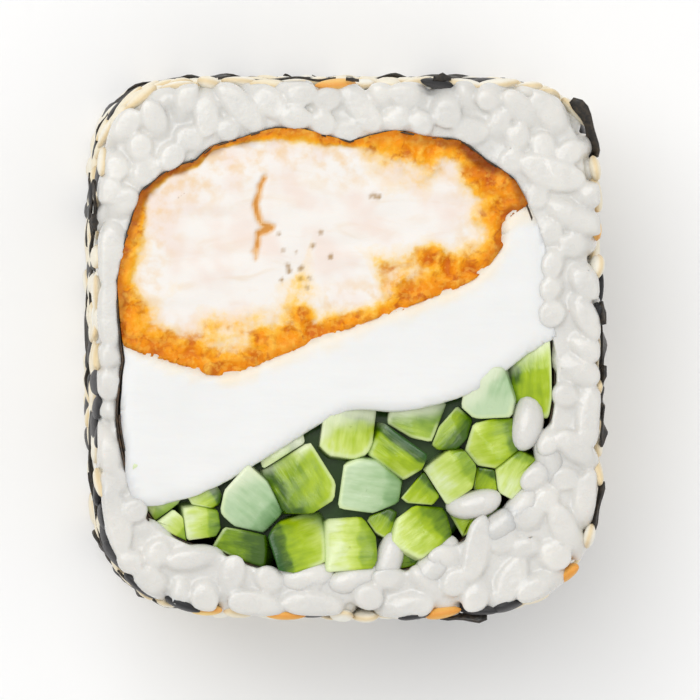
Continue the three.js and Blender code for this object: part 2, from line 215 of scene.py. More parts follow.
# Shapes of the roll.
def roll_radius(angle):
    """From the middle of the roll to the outside of the rice."""
    squareness = SQUARENESS + SQUARENESS_RISE * np.sin(angle)
    across = np.abs(np.cos(angle) / (ROLL_WIDTH / 2)) ** squareness
    along = np.abs(np.sin(angle) / (ROLL_DEPTH / 2)) ** squareness
    return (across + along) ** (-1 / squareness)


def hollow_radius(angle):
    """From the middle of the hollow to the nori's inner face in the solids, before it winds outwards."""
    count = len(HOLLOW_RADII)
    place = (np.asarray(angle) % TURN) / TURN * count
    step = np.floor(place).astype(int)
    part = place - step
    a, b, c, d = [HOLLOW_RADII[(step + k) % count] for k in (-1, 0, 1, 2)]
    return b + 0.5 * part * (c - a + part * (2 * a - 5 * b + 4 * c - d + part * (3 * (b - c) + d - a)))


def turns_wound(angle):
    """How far the nori has wound from its start at an angle, as a share of a turn."""
    return ((np.asarray(angle) - NORI_START) % TURN) / TURN


def by_direction(table, angle):
    """Interpolates a table with directions in degrees."""
    return np.interp(np.degrees(angle) % 360, list(table), list(table.values()), period=360)


def rice_hollow(angle):
    """From the middle of the hollow to the rice, outside the nori's ends where they lap."""
    wound = turns_wound(angle)
    lap = NORI_LAP / TURN
    lifted = np.maximum(smoothstep(0.92, 1.0, wound), 1 - smoothstep(lap, lap + 0.015, wound))
    return by_direction(NORI_LINE, angle) + NORI_THICKNESS + NORI_LIFT * lifted


def overhang(angle):
    """From 0 where the nori's edge shows to 0.9 where it lies deepest under rice and cheese."""
    return by_direction(NORI_DEPTHS, angle) - 0.3


def polar(points, middle):
    """The angles and radii of points round a middle."""
    apart = np.asarray(points)[:, :2] - middle
    return np.arctan2(apart[:, 1], apart[:, 0]), np.hypot(apart[:, 0], apart[:, 1])


def distance_to(place, points):
    return polar(points, place)[1]


def scale_about(middle, points, factors):
    """Moves points towards a middle or away from it, seen from above."""
    points[:, :2] = (points[:, :2] - middle) * factors[:, None] + middle


def below_cut(points):
    """How far points lie under the nearer cut face."""
    return HEIGHT / 2 - np.abs(points[:, 2] - HEIGHT / 2)


def toward(degrees):
    return np.array([math.cos(math.radians(degrees)), math.sin(math.radians(degrees))])


def unit(vectors):
    return vectors / np.linalg.norm(vectors, axis=1, keepdims=True)


def smoothstep(low, high, value):
    part = np.clip((value - low) / (high - low), 0, 1)
    return part * part * (3 - 2 * part)


MISSED_DARTS = 300
LATTICE = np.random.default_rng(11).uniform(-1, 1, (32, 32, 32))


def noise(points, cell, shift=0.0):
    """Smooth noise from -1 to 1, with lumps about a cell wide."""
    place = np.asarray(points, float) / cell + shift
    base = np.floor(place).astype(int)
    part = place - base
    part = part * part * (3 - 2 * part)
    total = np.zeros(len(place))
    for corner in np.ndindex(2, 2, 2):
        weight = np.prod(np.where(corner, part, 1 - part), axis=1)
        total += weight * LATTICE[tuple(((base + corner) % 32).T)]
    return total


# Meshes.
def add_object(name, data):
    made = bpy.data.objects.new(name, data)
    bpy.context.scene.collection.objects.link(made)
    return made


def mesh_object(name, corners, faces):
    """An object from corners in millimetres."""
    mesh = bpy.data.meshes.new(name)
    mesh.from_pydata((np.asarray(corners) * MM).tolist(), [], np.asarray(faces).tolist())
    return add_object(name, mesh)


def make_piece(name, corners, faces, finish, slot, attributes=None):
    """A piece of the slice from corners in millimetres, with values at them for its finish."""
    piece = mesh_object(name, corners, faces)
    piece.data.shade_smooth()
    for label, values in (attributes or {}).items():
        layer = piece.data.attributes.new(label, "FLOAT", "POINT")
        layer.data.foreach_set("value", np.asarray(values, np.float32))
    piece.data.materials.append(finish)
    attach(piece, "root")
    return piece


def triangles_of(mesh):
    """Corners in millimetres and triangles of a mesh."""
    mesh.calc_loop_triangles()
    corners = np.empty(len(mesh.vertices) * 3)
    mesh.vertices.foreach_get("co", corners)
    triangles = np.empty(len(mesh.loop_triangles) * 3, int)
    mesh.loop_triangles.foreach_get("vertices", triangles)
    return corners.reshape(-1, 3) / MM, triangles.reshape(-1, 3)


def node_shape(node):
    return triangles_of(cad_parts[node].data)


def melted(corners, faces, voxel, rounds, most=None):
    """The outer surface of overlapping shapes as one even mesh, smoothed, with at most so many triangles."""
    shape = mesh_object("melting", corners, faces)
    remesh = shape.modifiers.new("remesh", "REMESH")
    remesh.mode = "VOXEL"
    remesh.voxel_size = voxel * MM
    shape.modifiers.new("smooth", "SMOOTH").iterations = rounds
    count = len(shape.evaluated_get(bpy.context.evaluated_depsgraph_get()).data.polygons) * 2
    if most and count > most:
        shape.modifiers.new("decimate", "DECIMATE").ratio = most / count
    result = triangles_of(shape.evaluated_get(bpy.context.evaluated_depsgraph_get()).to_mesh())
    bpy.data.meshes.remove(shape.data)
    return result


def normals_of(corners, triangles):
    a, b, c = (corners[triangles[:, k]] for k in range(3))
    face_normals = np.cross(b - a, c - a)
    normals = np.zeros_like(corners)
    for k in range(3):
        np.add.at(normals, triangles[:, k], face_normals)
    return normals / np.maximum(np.linalg.norm(normals, axis=1, keepdims=True), 1e-9)


def tube_faces(rings, sides, closed=False):
    """Triangles from each ring of corners to the next, and from the last to the first where it is closed."""
    side, ring = np.indices((sides, rings if closed else rings - 1))
    here, ahead = ring * sides, (ring + 1) % rings * sides
    beside = (side + 1) % sides
    a, b, c, d = here + side, here + beside, ahead + beside, ahead + side
    return np.stack([a, b, c, a, c, d], axis=2).reshape(-1, 3)


def tube(rings):
    """A closed shape through rings of corners, with flat ends."""
    count, sides = rings.shape[:2]
    ahead = np.arange(2, sides)
    end = np.column_stack([0 * ahead, ahead, ahead - 1])
    other_end = (count - 1) * sides + end[:, ::-1]
    return rings.reshape(-1, 3), np.vstack([tube_faces(count, sides), end, other_end])


def rounded_bar(rings, sides, half_width, half_thickness):
    """A closed shape of length 1 along X. Its half sizes are functions of the place from 0 to 1 along it."""
    place = (1 - np.cos(np.linspace(0, math.pi, rings + 2)[1:-1])) / 2
    around = np.arange(sides) / sides * TURN
    x = np.repeat(place - 0.5, sides)
    y = np.outer(half_width(place), np.cos(around)).ravel()
    z = np.outer(half_thickness(place), np.sin(around)).ravel()
    corners = np.vstack([np.column_stack([x, y, z]), [[-0.5, 0, 0], [0.5, 0, 0]]])
    count = rings * sides
    side = np.arange(sides)
    beside = (side + 1) % sides
    start = np.column_stack([np.full(sides, count), beside, side])
    end = np.column_stack([np.full(sides, count + 1), count - sides + side, count - sides + beside])
    return corners, np.vstack([tube_faces(rings, sides), start, end])


def copies(shape, turns, sizes, places):
    """Copies of a shape as one mesh, each stretched to its size, turned and moved to its place."""
    corners, triangles = shape
    moved = np.einsum("nij,vj->nvi", turns * sizes[:, None], corners) + places[:, None]
    shifts = np.arange(len(places))[:, None, None] * len(corners)
    return moved.reshape(-1, 3), (triangles[None] + shifts).reshape(-1, 3)


def joined(shapes):
    """Several meshes as one."""
    corners = np.vstack([shape[0] for shape in shapes])
    starts = np.cumsum([0] + [len(shape[0]) for shape in shapes[:-1]])
    return corners, np.vstack([shape[1] + start for shape, start in zip(shapes, starts)])


def spread(low, high, spacing, rng, wraps=False, fits=None):
    """Places in a rectangle, thrown like darts until many in a row are too near to another or don't fit."""
    kept = np.empty((0, 2))
    missed = 0
    while missed < MISSED_DARTS:
        dart = rng.uniform(low, high)
        apart = np.abs(kept - dart)
        if wraps:
            apart[:, 0] = np.minimum(apart[:, 0], high[0] - low[0] - apart[:, 0])
        taken = len(kept) and np.hypot(apart[:, 0], apart[:, 1]).min() < spacing
        if taken or (fits and not fits(dart)):
            missed += 1
            continue
        kept = np.vstack([kept, dart])
        missed = 0
    return kept


# The outside of the rice, unrolled: lengths along it and the angles where they are reached.
SIDE_ANGLES = np.linspace(0, TURN, 1441)
SIDE_POINTS = np.column_stack([np.cos(SIDE_ANGLES), np.sin(SIDE_ANGLES)]) * roll_radius(SIDE_ANGLES)[:, None]
SIDE_LENGTHS = np.concatenate([[0], np.cumsum(np.hypot(*np.diff(SIDE_POINTS, axis=0).T))])
PERIMETER = SIDE_LENGTHS[-1]


def along_at(direction):
    """The length along the outside that is reached at a direction in degrees."""
    return np.interp(np.radians(direction), SIDE_ANGLES, SIDE_LENGTHS)


def side_at(along):
    """Points on the outside of the rice, at height 0, with the directions along it and out of it."""
    along = np.asarray(along) % PERIMETER
    point, ahead = (
        np.column_stack([np.interp(place % PERIMETER, SIDE_LENGTHS, SIDE_POINTS[:, k]) for k in (0, 1)])
        for place in (along, along + 0.2)
    )
    tangent = unit(ahead - point)
    level = np.zeros((len(point), 1))
    outward = np.hstack([tangent[:, 1:], -tangent[:, :1], level])
    return np.hstack([point, level]), np.hstack([tangent, level]), outward


def on_side(along, height, turn, out, rng, tip):
    """Rotations that lay shapes on the outside of the rice, each turned and tipped, and their places."""
    point, tangent, outward = side_at(along)
    cos, sin = np.cos(turn)[:, None], np.sin(turn)[:, None]
    lean = rng.uniform(-tip, tip, (len(point), 2))
    x = unit(tangent * cos + UP * sin + outward * lean[:, :1])
    z = unit(np.cross(x, UP * cos - tangent * sin + outward * lean[:, 1:]))
    turns = np.stack([x, np.cross(z, x), z], axis=2)
    return turns, point + UP * height[:, None] + outward * out[:, None]


# Rice.
def grain_shape(sides):
    """A short blunt grain of cooked rice, a little bent."""

    def fullness(place):
        return 0.5 * (1 - np.abs(2 * place - 1) ** 2.3) ** (1 / 2.1)

    corners, triangles = rounded_bar(sides, sides, fullness, fullness)
    corners[:, 1] += 0.35 * corners[:, 0] ** 2
    return corners, triangles


def grain_turns(axes, rng):
    """Rotations that lay X along each axis, rolled at random."""
    aside = unit(np.cross(axes, rng.normal(size=axes.shape)))
    return np.stack([axes, aside, np.cross(axes, aside)], axis=2)


def held_in_ring(points, proud):
    """Points moved to where rice can be. Each may come as near to a cut face as its proud distance."""
    points[:, 2] = np.clip(points[:, 2], proud, HEIGHT - proud)
    angle, radius = polar(points, HOLLOW_MIDDLE)
    least = rice_hollow(angle) + NORI_ROOM - 0.7 * overhang(angle) * (points[:, 2] > HEIGHT - 2.5)
    scale_about(HOLLOW_MIDDLE, points, np.maximum(radius, least) / radius)
    angle, radius = polar(points, 0)
    scale_about(0, points, np.minimum(radius, roll_radius(angle) - SIDE_ROOM) / radius)
    return points


def held_near_surface(centres):
    """Centres lifted towards the outside or the nearer cut where they lie too deep to show."""
    angle, radius = polar(centres, 0)
    inside = roll_radius(angle) - radius
    below = below_cut(centres)
    deep = np.minimum(inside, below) > DEEPEST
    out = deep & (inside < below)
    centres[out, :2] *= ((roll_radius(angle) - DEEPEST) / radius)[out, None]
    up = deep & ~out
    centres[up, 2] = np.where(centres[up, 2] > HEIGHT / 2, HEIGHT - DEEPEST, DEEPEST)
    return centres


def settled(centres, axes, proud):
    """Grains as rods of three balls each, pushed off each other until they lie side by side."""
    spots = np.array([-1, 0, 1]) * (GRAIN[0] - GRAIN[1]) / 2
    touch = NEAREST * (GRAIN[1] + GRAIN[2]) / 2
    between_searches = 8
    owner = np.repeat(np.arange(len(centres)), 3)
    for turn in range(SETTLING_TURNS):
        balls = (centres[:, None] + axes[:, None] * spots[:, None]).reshape(-1, 3)
        if turn % between_searches == 0:
            near = np.linalg.norm(balls[:, None] - balls[None], axis=2) < 2 * touch
            first, second = np.nonzero(near & (owner[:, None] < owner[None]))
        apart = balls[first] - balls[second]
        distance = np.maximum(np.linalg.norm(apart, axis=1, keepdims=True), 1e-6)
        push = apart / distance * np.clip(touch - distance, 0, None) * 0.3
        np.add.at(balls, first, push)
        np.add.at(balls, second, -push)
        balls = held_in_ring(balls, np.repeat(proud, 3)).reshape(-1, 3, 3)
        centres = held_near_surface(balls.mean(axis=1))
        axes = unit(balls[:, 2] - balls[:, 0])
    return centres, axes


def settled_grains(rng):
    """Places and directions of all grains that show, in the two cut faces and on the outside."""
    inner_room, outer_room = 0.6, 0.8
    half = np.array([ROLL_WIDTH, ROLL_DEPTH]) / 2 - outer_room

    def in_ring(dart):
        angle, radius = polar([dart], HOLLOW_MIDDLE)
        clear_of_nori = radius > rice_hollow(angle) + inner_room
        angle, radius = polar([dart], 0)
        return (clear_of_nori & (radius < roll_radius(angle) - outer_room)).all()

    centres = []
    for height in (CUT_DEPTH, HEIGHT - CUT_DEPTH):
        places = spread(-half, half, CUT_SPACING, rng, fits=in_ring)
        centres.append(np.column_stack([places, np.full(len(places), height)]))
    places = spread((0, 2 * CUT_DEPTH), (PERIMETER, HEIGHT - 2 * CUT_DEPTH), SIDE_SPACING, rng, wraps=True)
    point, _, outward = side_at(places[:, 0])
    centres.append(point - SIDE_DEPTH * outward + UP * places[:, 1:])
    centres = np.vstack(centres)
    axes = unit(rng.normal(size=centres.shape) * [1, 1, 0.75])
    proud = rng.uniform(0.25, 0.9, len(centres))
    return settled(centres, axes, proud)


def rice_core():
    """The ring behind the grains."""
    count = 240
    angle = np.arange(count) / count * TURN
    around = np.column_stack([np.cos(angle), np.sin(angle)])
    inner = around * rice_hollow(angle)[:, None] + HOLLOW_MIDDLE
    outer = around * (roll_radius(angle) - SIDE_DEPTH)[:, None]
    rings = [(outer, 0.8), (outer, HEIGHT - 0.8), (inner, HEIGHT - 0.5), (inner, 0.5)]
    corners = np.vstack([np.column_stack([points, np.full(count, z)]) for points, z in rings])
    return corners, tube_faces(len(rings), count, closed=True)


def soft_limit(value, limit, softness):
    """The value kept below a limit, and bent over before it gets there."""
    return limit - softness * np.logaddexp(0, (limit - value) / softness)


def press_grains(corners, cut):
    """Flattens grains against the mat and the knife, each as deep as its cut, and keeps the hollow free."""
    angle, radius = polar(corners, HOLLOW_MIDDLE)
    near_cut = 1 - smoothstep(0.7, 1.4, below_cut(corners))
    over = near_cut * overhang(angle) * (0.75 + 0.6 * noise(corners, 2.5, 3))
    over += near_cut * 0.3 * np.clip(noise(corners * [1, 1, 0], 1.9, 9) - 0.25, 0, 1)
    least = rice_hollow(angle) - 0.05 - over
    held = np.where(radius > 8, -soft_limit(-radius, -least, 0.08), radius)
    scale_about(HOLLOW_MIDDLE, corners, held / np.maximum(radius, 1e-6))
    angle, radius = polar(corners, 0)
    rounding = 0.3 * (1 - np.clip(below_cut(corners) / 1.2, 0, 1)) ** 2
    most = roll_radius(angle) + 0.1 - 0.8 * cut + 0.15 * noise(corners, 3.0) - rounding
    scale_about(0, corners, soft_limit(radius, most, 0.12) / np.maximum(radius, 1e-6))
    level = cut + 0.12 + 0.1 * noise(corners * [1, 1, 0], 4.0, 5)
    corners[:, 2] = soft_limit(corners[:, 2], HEIGHT - level, 0.1)
    corners[:, 2] = -soft_limit(-corners[:, 2], -level, 0.1)
    return corners


def make_rice(finish):
    """The ring of grains, stuck together."""
    rng = np.random.default_rng(3)
    centres, axes = settled_grains(rng)
    turns = grain_turns(axes, rng)
    sizes = GRAIN * rng.uniform(0.94, 1.08, (len(centres), 3))
    shape = grain_shape(14)
    cut = np.repeat(rng.uniform(0, 0.2, len(centres)), len(shape[0]))
    grains, triangles = copies(shape, turns, sizes, centres)
    ring = joined([rice_core(), (press_grains(grains, cut), triangles)])
    corners, triangles = melted(*ring, voxel=0.17, rounds=1, most=RICE_TRIANGLES)
    angle, radius = polar(corners, 0)
    depth = np.minimum(roll_radius(angle) - radius, below_cut(corners))
    attributes = {"depth": depth, "tone": 0.5 + 0.5 * noise(corners, 2.2, 6)}
    rice = make_piece("rice_ring", corners, triangles, finish, "rice", attributes)
    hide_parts("rice")


def make_loose_grains(finish):
    """Grains that have come off the ring and lie on the cucumber."""
    rng = np.random.default_rng(17)
    x, y, turn = np.array(LOOSE_GRAINS).T
    yaw = np.radians(turn)
    pitch = rng.uniform(-0.25, 0.25, len(x))
    ahead = np.column_stack([np.cos(yaw) * np.cos(pitch), np.sin(yaw) * np.cos(pitch), np.sin(pitch)])
    aside = np.column_stack([-np.sin(yaw), np.cos(yaw), 0 * yaw])
    turns = np.stack([ahead, aside, np.cross(ahead, aside)], axis=2)
    sizes = GRAIN * rng.uniform(0.85, 1.0, (len(x), 3))
    shape = grain_shape(12)
    corners, triangles = copies(shape, turns, sizes, np.column_stack([x, y, 0 * x + HEIGHT - LOOSE_DEPTH]))
    corners[:, 2] = soft_limit(corners[:, 2], HEIGHT - 0.1, 0.1)
    attributes = {"depth": 0 * corners[:, 2], "tone": np.repeat(rng.uniform(0, 1, len(x)), len(shape[0]))}
    make_piece("loose_grains", corners, triangles, finish, "rice", attributes)


# Sesame seeds and shreds of nori on the outside.
def seed_shape():
    """A teardrop, blunt at one end and pointed at the other."""

    def drop(place):
        return place**0.48 * (1 - place) ** 0.72

    widest = drop(np.linspace(0, 1, 200)).max()
    return rounded_bar(
        10, 12, lambda place: 0.5 * drop(place) / widest, lambda place: 0.5 * (drop(place) / widest) ** 0.8
    )


def make_seeds(under_shreds):
    """Seeds spread over the outside. The kinds share the places, so none lies on another or under a shred."""
    rng = np.random.default_rng(8)
    shape = seed_shape()
    rim = {}
    for kind, rows in RIM_SEEDS.items():
        direction, turn, depth = np.array(rows).T
        rim[kind] = np.column_stack([along_at(direction), HEIGHT - depth, np.radians(turn)])
    rim_places = np.vstack(list(rim.values()))[:, :2]

    def is_clear(dart):
        off_shreds = distance_to(dart, under_shreds) > under_shreds[:, 2]
        return off_shreds.all() and distance_to(dart, rim_places).min() > RIM_SEED_SPACING

    places = spread((0, 0.9), (PERIMETER, HEIGHT - 1.5), SEED_SPACING, rng, wraps=True, fits=is_clear)
    rng.shuffle(places)
    for kind, (count, slot, pale, deep, edge, roughness) in SEED_KINDS.items():
        here, places = places[:count], places[count:]
        turn = rng.uniform(0, TURN, len(here))
        if kind in rim:
            here = np.vstack([here, rim[kind][:, :2]])
            turn = np.concatenate([turn, rim[kind][:, 2]])
        sizes = SEED * rng.uniform(0.88, 1.08, (len(here), 3))
        reach = np.hypot(sizes[:, 0] * np.sin(turn), sizes[:, 1] * np.cos(turn)) / 2
        height = np.clip(here[:, 1], reach + 0.3, HEIGHT - reach - 0.25)
        out = rng.uniform(-0.32, -0.02, len(here))
        turns, centres = on_side(here[:, 0], height, turn, out, rng, tip=0.22)
        corners, triangles = copies(shape, turns, sizes, centres)
        tone = np.repeat(rng.uniform(0, 1, len(here)), len(shape[0]))
        thin = np.tile(1 - 2 * np.abs(shape[0][:, 2]), len(here))
        finish = seed_finish(kind.replace("_", " "), pale, deep, edge, roughness)
        make_piece(kind, corners, triangles, finish, slot, {"tone": tone, "edge": thin})


def ribbon(path, across, lift, widths):
    """A shred along a path. It is curled in section, and lift is the way out of its face."""
    spots = np.array([-1, -0.6, 0, 0.6, 1])
    curl = 0.13 * widths[:, None] * (spots**2 - 0.4)
    upper = path[:, None] + across[:, None] * (widths[:, None] * spots / 2)[..., None]
    upper = upper + lift[:, None] * curl[..., None]
    lower = (upper - lift[:, None] * SHRED_THICKNESS)[:, ::-1]
    corners, triangles = tube(np.concatenate([upper, lower], axis=1))
    return corners, triangles[:, ::-1]


def shred(along, height, heading, length, width, rng, lie=0.0, edge=1.6, clear=0.26):
    """A shred that wanders over the outside, clear of the rice, and leans back by its lie.

    Returns its shape, and the places that it covers with how far seeds keep off each.
    """
    count = max(5, round(length / 0.5))
    gone = np.linspace(0, length, count)
    bend = rng.uniform(-0.06, 0.06)
    phase = rng.uniform(0, 9)
    way = heading + bend * gone + 0.25 * np.sin(gone * 0.45 + phase)
    step = length / (count - 1)
    reached = along + np.cumsum(np.cos(way)) * step
    level = np.clip(height + np.cumsum(np.sin(way)) * step, width / 2 + 0.2, HEIGHT - edge)
    point, tangent, outward = side_at(reached)
    across = UP * np.cos(way)[:, None] - tangent * np.sin(way)[:, None]
    rise = clear + 0.12 * np.sin(gone * 1.1 + phase)
    twist = lie + 0.25 * np.sin(gone * 0.7 + 2 * phase)
    cos, sin = np.cos(twist)[:, None], np.sin(twist)[:, None]
    path = point + UP * level[:, None] + outward * rise[:, None]
    ends = np.clip(np.minimum(gone, length - gone) / 0.6, 0.5, 1)
    widths = width * ends * (0.85 + 0.2 * np.sin(gone * 1.7 + phase))
    covered = np.column_stack([reached % PERIMETER, level, np.full(count, 0.55 + 0.35 * width)])
    return ribbon(path, across * cos - outward * sin, outward * cos + across * sin, widths), covered


def make_shreds(finish):
    """Shreds all round and on the rim. Returns the places that seeds keep off, with how far."""
    rng = np.random.default_rng(21)
    strips = []
    for count, lengths, widths in SHRED_KINDS:
        for along in np.arange(count) / count * PERIMETER:
            place = along + rng.uniform(-2, 2)
            height = rng.uniform(2.0, HEIGHT - 4.0)
            heading = rng.uniform(0.2, 1.2) * rng.choice([-1, 1]) + (math.pi if height > HEIGHT / 2 else 0)
            strips.append(shred(place, height, heading, rng.uniform(*lengths), rng.uniform(*widths), rng))
    for direction, depth, length, width in RIM_SHREDS:
        place = along_at(direction)
        strips.append(shred(place, HEIGHT - depth, math.pi, length, width, rng, lie=0.9, edge=0.5, clear=0.2))
    shapes, covered = zip(*strips)
    make_piece("nori_shreds", *joined(shapes), finish, "nori")
    return np.vstack(covered)


# Nori round the fillings.
def make_nori(finish):
    """The rolled sheet. Its edges dip where the rice and the cheese close over them."""
    steps, levels = 420, 26
    wound = np.linspace(0, TURN + NORI_LAP, steps + 1)
    angle = NORI_START + wound
    ragged = 0.1 * noise(np.outer(angle, [16, 0, 0]), 1.2)
    dip = np.where(wound > TURN, 0.4, by_direction(NORI_DEPTHS, angle)) + ragged
    z = dip[:, None] + (HEIGHT - 2 * dip)[:, None] * np.linspace(0, 1, levels + 1)
    radius = by_direction(NORI_LINE, angle) + NORI_LIFT * smoothstep(0.92, 1.0, wound / TURN)
    places = np.column_stack([np.repeat(angle * 17, levels + 1), z.ravel(), 0 * z.ravel()])
    radius = radius[:, None] + 0.05 * noise(places, 2.6).reshape(z.shape)
    around = np.column_stack([np.cos(angle), np.sin(angle)])[:, None]
    inner = np.dstack([HOLLOW_MIDDLE + around * radius[..., None], z])
    outer = np.dstack([HOLLOW_MIDDLE + around * (radius + NORI_THICKNESS)[..., None], z])
    # One loop round the strip's section for each step: up the inner face and down the outer one.
    loops = np.concatenate([inner, outer[:, ::-1]], axis=1)
    sides = loops.shape[1]
    low = np.arange(levels)
    high = sides - 1 - low
    end = np.column_stack([low, high - 1, low + 1, low, high, high - 1]).reshape(-1, 3)
    triangles = np.vstack([tube_faces(steps + 1, sides), end, steps * sides + end[:, ::-1]])
    nori = make_piece("nori_sheet", loops.reshape(-1, 3), triangles, finish, "nori")
    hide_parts("nori_wrap")


# Fillings.
def widened(node, voxel, rounds, growth):
    """A filling's solid as an even mesh, grown towards the filling beside it and fitted to the nori's line.

    Returns its normals too, from before it was fitted.
    """
    corners, triangles = melted(*node_shape(node), voxel, rounds)
    normals = normals_of(corners, triangles)
    flat = np.hypot(normals[:, 0], normals[:, 1])
    outward = normals[:, :2] / np.maximum(flat, 1e-6)[:, None]
    corners[:, :2] += outward * (growth * smoothstep(0.1, 0.5, flat))[:, None]
    angle, radius = polar(corners, HOLLOW_MIDDLE)
    now = hollow_radius(angle) - 0.45 * CAD_GAP
    wanted = by_direction(NORI_LINE, angle) + 0.03
    near_cut = 1 - smoothstep(0.5, 1.5, below_cut(corners))
    wanted += near_cut * (np.clip(2 * overhang(angle), 0, 0.5) + 0.1 * noise(corners, 1.6, 8) - 0.05)
    factors = np.minimum(1 + (wanted / now - 1) * smoothstep(0.5, 1.0, radius / now), wanted / radius)
    scale_about(HOLLOW_MIDDLE, corners, factors)
    return corners, triangles, normals


def sink_cuts(corners, normals, low, high, sink):
    """Moves both cut faces to lie as deep as their sink. They are where the normals point up or down."""
    for way, level in ((1, HEIGHT - sink), (-1, sink)):
        facing = smoothstep(low, high, way * normals[:, 2])
        corners[:, 2] += facing * (level - corners[:, 2])


def edge_distance(corners):
    """How far each corner lies inside the outline that the solid has halfway up."""
    waist = corners[np.abs(corners[:, 2] - HEIGHT / 2) < 1.2]
    tree = kdtree.KDTree(len(waist))
    for i, (x, y, _) in enumerate(waist):
        tree.insert((x, y, 0), i)
    tree.balance()
    return np.array([tree.find((x, y, 0))[2] for x, y, _ in corners])


def distance_to_line(points, line):
    """The distance from points to a line of straight stretches."""
    nearest = np.full(len(points), np.inf)
    for a, b in zip(np.array(line[:-1]), np.array(line[1:])):
        share = np.clip(((points[:, :2] - a) @ (b - a)) / ((b - a) @ (b - a)), 0, 1)
        nearest = np.minimum(nearest, np.linalg.norm(points[:, :2] - a - share[:, None] * (b - a), axis=1))
    return nearest


def make_chicken(finish):
    """Meat with a crack in it, in a crust whose crumbs stand up round it."""
    corners, triangles, normals = widened("fried_chicken", voxel=0.18, rounds=3, growth=0.2)
    edge = edge_distance(corners)
    angle, _ = polar(corners, CHICKEN_MIDDLE)
    rind = edge / (by_direction(CRUST_WIDTHS, angle) * (1 + 0.45 * noise(corners * [1, 1, 0], 2.6, 12)))
    scorch = by_direction(SCORCH, angle) * (1 - smoothstep(0.15, 0.75, edge + 0.4 * noise(corners, 0.9, 7)))
    for x, y, reach in CRUST_PATCHES:
        rind = np.minimum(rind, distance_to((x, y), corners) / reach)
    crust = 1 - smoothstep(0.7, 1.4, rind + 0.45 * noise(corners, 0.9))
    crags = 0.5 - 2 * np.abs(noise(corners, 1.5, 4))
    crumbs = 0.28 * crags + 0.2 * noise(corners, 0.6, 4) + 0.1 * noise(corners, 0.3, 9)
    lumps = 0.08 * noise(corners * [0.45, 1.1, 1], 1.1) + 0.14 * noise(corners, 3.2, 2)
    crack = 1 - smoothstep(0.03, 0.42, distance_to_line(corners, CRACK) + 0.16 * noise(corners, 0.5))
    sink = 0.4 + (1 - crust) * lumps - crust * (0.15 + crumbs) + 0.35 * crack
    sink += 0.08 * (1 - smoothstep(0, 0.4, edge))
    sink_cuts(corners, normals, 0.35, 0.8, np.maximum(sink, 0.02))
    beside = 1 - smoothstep(0.35, 0.8, np.abs(normals[:, 2]))
    corners += normals * (beside * 0.1 * noise(corners, 0.8))[:, None]
    rng = np.random.default_rng(5)
    specks = np.vstack([rng.normal((-3.6, 6.9), (1.9, 1.2), (13, 2)), rng.normal((2.3, 11.7), 0.4, (4, 2))])
    from_speck = np.min([distance_to(speck, corners) for speck in specks], axis=0)
    specked = 1 - smoothstep(0.02, 0.3, from_speck + 0.14 * noise(corners, 0.35, 5))
    chicken = make_piece("fried_chicken_slice", corners, triangles, finish, "fried_chicken", {
        "rind": rind, "edge": edge, "crumb": crumbs, "scorch": scorch, "crack": 0.95 * crack,
        "speck": 0.85 * specked,
    })
    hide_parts("fried_chicken")


def make_cheese(finish):
    """A smooth band that the knife has drawn a little, stained where the crust lies on it."""
    corners, triangles, normals = widened("cream_cheese", voxel=0.36, rounds=5, growth=0.5)
    edge = edge_distance(corners)
    drawn = noise(corners * [0.25, 1.6, 0], 0.9) * 0.02
    sink = 0.26 + 0.08 * noise(corners, 6.0, 7) + drawn + 0.15 * (1 - smoothstep(0, 0.7, edge))
    sink_cuts(corners, normals, 0.4, 0.9, sink)
    stain = 1 - smoothstep(0.0, 1.3, distance_to_line(corners, CHICKEN_UNDERSIDE) + 0.4 * noise(corners, 0.8))
    cheese = make_piece("cream_cheese_band", corners, triangles, finish, "cream_cheese", {"stain": stain})
    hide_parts("cream_cheese")


def clipped(outline, point, normal):
    """The part of a convex outline on the near side of a line through a point."""
    height = (outline - point) @ normal
    kept = []
    for i, corner in enumerate(outline):
        j = (i + 1) % len(outline)
        if height[i] <= 0:
            kept.append(corner)
        if (height[i] > 0) != (height[j] > 0):
            kept.append(corner + (outline[j] - corner) * height[i] / (height[i] - height[j]))
    return np.array(kept)


def softened(outline, count=40):
    """An outline with its corners rounded off, as a ring of evenly spaced points."""
    for cut in (0.04, 0.14):
        step = np.roll(outline, -1, axis=0) - outline
        outline = np.stack([outline + cut * step, outline + (1 - cut) * step], axis=1).reshape(-1, 2)
    closed = np.vstack([outline, outline[:1]])
    gone = np.concatenate([[0], np.cumsum(np.hypot(*np.diff(closed, axis=0).T))])
    places = np.arange(count) / count * gone[-1]
    return np.column_stack([np.interp(places, gone, closed[:, k]) for k in (0, 1)])


def stick_outline(index):
    """A turned box, cut back to the sticks beside it."""
    this = STICKS[index]
    place = np.array(this[:2])
    ahead = toward(this.turn) * this.width / 2
    beside = toward(this.turn + 90) * this.depth / 2
    outline = place + np.array([-ahead - beside, ahead - beside, ahead + beside, beside - ahead])
    reach = math.sqrt(this.width * this.depth) / 2
    for other in STICKS:
        away = np.array(other[:2]) - place
        apart = np.linalg.norm(away)
        if 0 < apart < 7:
            other_reach = math.sqrt(other.width * other.depth) / 2
            share = (apart**2 + reach**2 - other_reach**2) / (2 * apart)
            away = away / apart
            outline = clipped(outline, place + away * (share - STICK_GAP / 2), away)
    return outline


